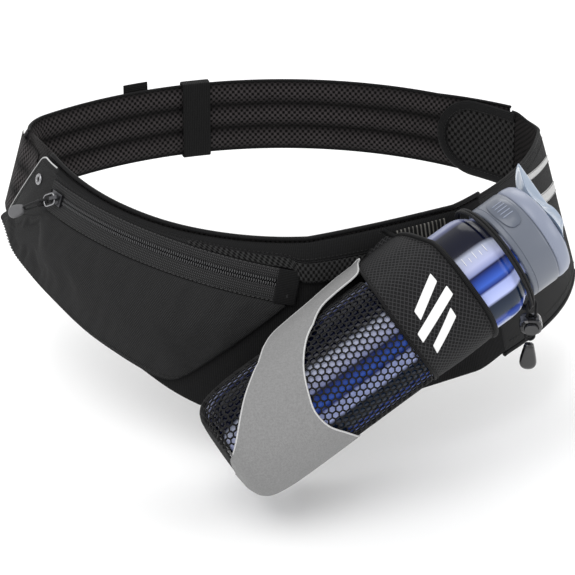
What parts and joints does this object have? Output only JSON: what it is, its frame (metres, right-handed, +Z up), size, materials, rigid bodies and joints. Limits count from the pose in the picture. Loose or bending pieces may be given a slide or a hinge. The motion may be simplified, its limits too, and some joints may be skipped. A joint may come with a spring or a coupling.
{
  "type": "waist pack",
  "caption": "Padded waist belt with a flared zipped front pouch, a slanted mesh pocket holding a capped drinks bottle, and an elastic retention cord with a cord lock.",
  "frame": {"origin": "middle of the bounding box's underside; the middle of the waist oval at the belt's mid height is at (-0.0085, 0.0798, 0.1315) m", "axes": "+X the wearer-side right end of the ring in the view from the pouch, +Y away from the pouch towards the belt closure, +Z up"},
  "size_m": [0.416, 0.3856, 0.1898],
  "materials": {
    "knit": "brushed knit",
    "spacer_lining": "spacer mesh",
    "air_mesh": "quilted air mesh",
    "webbing": "woven",
    "zip_tape": "ribbed tape",
    "binding": "smooth binding",
    "hook_and_loop": "hook and loop",
    "zip_teeth": "coil",
    "bright_metal": "polished",
    "slider_metal": "dark satin",
    "pull_cord": "round cord",
    "elastic_cord": "elastic cord",
    "grip_rubber": "satin",
    "reflective": "reflective tape",
    "open_mesh": "open hexagon mesh",
    "grey_cloth": "plain",
    "ripstop": "diamond ripstop",
    "ribbed_elastic": "ribbed",
    "black_plastic": "gloss",
    "bottle_plastic": "clear tinted",
    "cap_plastic": "satin",
    "lid_plastic": "satin",
    "pale_plastic": "translucent",
    "seal_rubber": "plain"
  },
  "bodies": {
    "pack": {"lining": "spacer_lining", "main_panel": "knit", "zip_tape_upper": "zip_tape", "zip_tape_lower": "zip_tape", "zip_teeth_upper": "zip_teeth", "zip_teeth_lower": "zip_teeth", "zip_stop_left": "slider_metal", "zip_stop_right": "slider_metal", "pouch_front": "knit", "end_panel": "webbing", "eyelet": "bright_metal", "eyelet_washer": "bright_metal", "top_band": "webbing", "top_piping": "binding", "wing_panel": "knit", "wing_binding": "binding", "stripe_upper": "reflective", "stripe_lower": "reflective", "hook_tab": "air_mesh", "tab_binding": "binding", "loop_patch": "hook_and_loop", "pocket_sleeve": "open_mesh", "grey_panel": "grey_cloth", "pocket_collar": "ripstop", "collar_binding": "binding", "pocket_web_upper": "knit", "pocket_web_lower": "knit", "elastic_gusset": "ribbed_elastic", "cord_ring": "elastic_cord", "cord_anchor": "webbing"},
    "strap": {"back_strap": "air_mesh", "hook_patch": "hook_and_loop", "outer_loop": "webbing"},
    "keeper": {"keeper_band": "webbing"},
    "slider": {"zip_slider": "slider_metal", "slider_crown": "slider_metal"},
    "pull": {"zip_bail": "bright_metal", "zip_pull_cord": "pull_cord", "zip_pull_grip": "grip_rubber"},
    "bottle": {"bottle_body": "bottle_plastic"},
    "seal": {"cap_seal": "seal_rubber"},
    "cap": {"cap_ring": "cap_plastic", "thumb_pad": "lid_plastic", "cap_lid": "lid_plastic"},
    "spout": {"spout": "pale_plastic"},
    "cover": {"dust_cover": "pale_plastic"},
    "tail": {"cord_tail": "pull_cord", "cord_pull": "black_plastic"},
    "lock": {"cord_lock_body": "black_plastic"},
    "plunger": {"cord_lock_plunger": "black_plastic"}
  },
  "joints": [
    {"name": "strap_open", "type": "hinge", "parent": "pack", "child": "strap", "pos_m": [-0.20107, 0.08229, 0.13153], "axis": [0, 0, 1], "range_deg": [0, 40]},
    {"name": "keeper_slide", "type": "hinge", "parent": "strap", "child": "keeper", "pos_m": [-0.00832, -0.05824, 0.13153], "axis": [0, 0, 1], "range_deg": [-14, 5]},
    {"name": "zip_run", "type": "hinge", "parent": "pack", "child": "slider", "pos_m": [-0.00032, 0.12529, 0.11017], "axis": [0.1861, 0.0655, 0.9803], "range_deg": [0, 44]},
    {"name": "pull_swing", "type": "hinge", "parent": "slider", "child": "pull", "pos_m": [-0.16145, -0.00429, 0.15021], "axis": [-0.1277, 0.599, 0.7905], "range_deg": [0, 95]},
    {"name": "bottle_out", "type": "slide", "parent": "pack", "child": "bottle", "axis": [0.8046, 0.396, 0.4424], "range_m": [0, 0.2]},
    {"name": "cap_lift", "type": "slide", "parent": "bottle", "child": "seal", "axis": [0.8046, 0.396, 0.4424], "range_m": [0, 0.009]},
    {"name": "cap_turn", "type": "hinge", "parent": "seal", "child": "cap", "pos_m": [-0.04052, -0.15724, 0.04853], "axis": [0.8046, 0.396, 0.4424], "range_deg": [0, 540]},
    {"name": "spout_pull", "type": "slide", "parent": "cap", "child": "spout", "axis": [0.8046, 0.396, 0.4424], "range_m": [0, 0.005]},
    {"name": "cover_off", "type": "slide", "parent": "cap", "child": "cover", "axis": [0.8046, 0.396, 0.4424], "range_m": [0, 0.03]},
    {"name": "tail_swing", "type": "hinge", "parent": "pack", "child": "tail", "pos_m": [0.14887, -0.0977, 0.1198], "axis": [-0.0632, -0.998, 0], "range_deg": [-12, 12]},
    {"name": "lock_slide", "type": "slide", "parent": "tail", "child": "lock", "axis": [0, 0, -1], "range_m": [0, 0.004]},
    {"name": "plunger_press", "type": "slide", "parent": "lock", "child": "plunger", "axis": [0.0632, 0.998, 0], "range_m": [0, 0.002], "stiffness_N_per_m": 300, "springref_m": -0.003}
  ],
  "couplings": [
    {"joint": "cap_lift", "follows": "cap_turn", "m_per_rad": 0.00095493}
  ]
}
